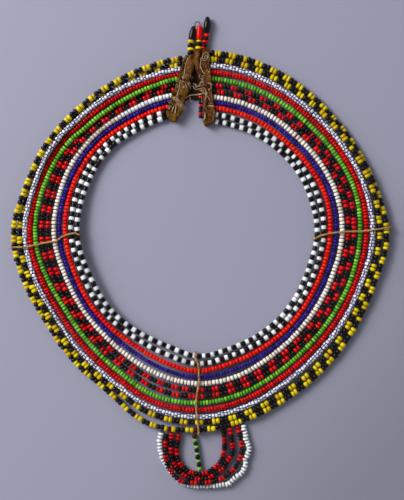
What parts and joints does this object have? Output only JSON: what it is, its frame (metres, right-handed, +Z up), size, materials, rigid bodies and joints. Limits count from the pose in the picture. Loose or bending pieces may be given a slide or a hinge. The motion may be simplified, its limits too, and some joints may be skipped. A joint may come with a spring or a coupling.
{
  "type": "beaded collar",
  "caption": "Flat ring-shaped neck collar of bead strands on wire, bound by hide spacers and thong ties, with hide ends, a looped bead pendant and a string fastening.",
  "frame": {"origin": "centre of the neck opening, on the surface that the collar lies on", "axes": "+Z up, square to the collar's plane; +Y from the opening's centre to the fastening, away from the pendant; +X to the right as it is worn and seen from the front"},
  "size_m": [0.2103, 0.2604, 0.0073],
  "materials": {
    "beads_rim": "opaque pressed glass, glossy",
    "beads_orange": "opaque pressed glass, glossy",
    "beads_blue": "opaque pressed glass, glossy",
    "beads_cream": "opaque pressed glass, glossy",
    "beads_red": "opaque pressed glass, glossy",
    "beads_green": "opaque pressed glass, glossy",
    "beads_dark_red": "opaque pressed glass, glossy",
    "beads_striped": "opaque pressed glass, glossy",
    "beads_yellow": "opaque pressed glass, glossy",
    "beads_white": "opaque pressed glass, glossy",
    "beads_black": "opaque pressed glass, glossy",
    "beads_scarlet": "opaque pressed glass, glossy",
    "hide": "untanned hide, mottled brown with olive edges",
    "spacer_hide": "dark hide seen edge on",
    "thong": "twisted tan sinew",
    "wire": "dulled soft iron wire"
  },
  "bodies": {
    "root": {"strand_1": "beads_rim", "strand_2": "beads_rim", "strand_3": "beads_orange", "strand_4": "beads_blue", "strand_5": "beads_cream", "strand_6": "beads_red", "strand_7": "beads_red", "strand_8": "beads_green", "strand_9": "beads_dark_red", "strand_10": "beads_striped", "strand_11": "beads_yellow", "strand_12": "beads_yellow", "spacer_1": "spacer_hide", "spacer_2": "spacer_hide", "spacer_3": "spacer_hide", "spacer_4": "spacer_hide", "tie_left": "thong", "tie_bottom": "thong", "tie_right": "thong", "hide_end_left": "hide", "hide_end_right": "hide", "pendant_white": "beads_white", "pendant_outer": "beads_red", "pendant_middle": "beads_red", "pendant_inner": "beads_red", "pendant_centre": "beads_green", "string_left": "beads_yellow", "string_middle": "beads_yellow", "string_right": "beads_red", "string_inner": "beads_red", "drop_bead": "beads_black", "barrel_bead": "beads_scarlet", "spindle_bead": "beads_black", "wire_ring": "wire"}
  },
  "joints": []
}
